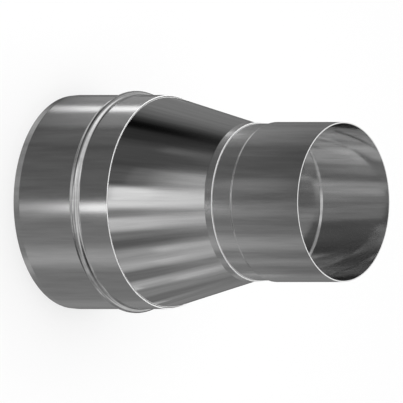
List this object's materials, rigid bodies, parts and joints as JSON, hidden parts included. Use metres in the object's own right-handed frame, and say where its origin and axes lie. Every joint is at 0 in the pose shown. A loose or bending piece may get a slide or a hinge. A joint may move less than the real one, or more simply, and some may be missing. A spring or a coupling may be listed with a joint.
{
  "type": "chimney adapter",
  "caption": "Single-wall stainless steel chimney adapter: a wide spigot with a stop bead steps down through a cone to a narrow pipe socket.",
  "frame": {"origin": "centre of the wide rim, in the plane that the adapter stands on", "axes": "+Z along the flue axis from the wide rim up to the narrow mouth; the lengthwise welds lie on the +Y side"},
  "size_m": [0.1868, 0.1868, 0.2765],
  "materials": {
    "collar_steel": "bright rolled stainless sheet",
    "cone_steel": "bright rolled stainless sheet",
    "tube_steel": "bright rolled stainless sheet"
  },
  "bodies": {
    "root": {"wide_collar": "collar_steel", "reducing_cone": "cone_steel", "socket_tube": "tube_steel"}
  },
  "joints": []
}
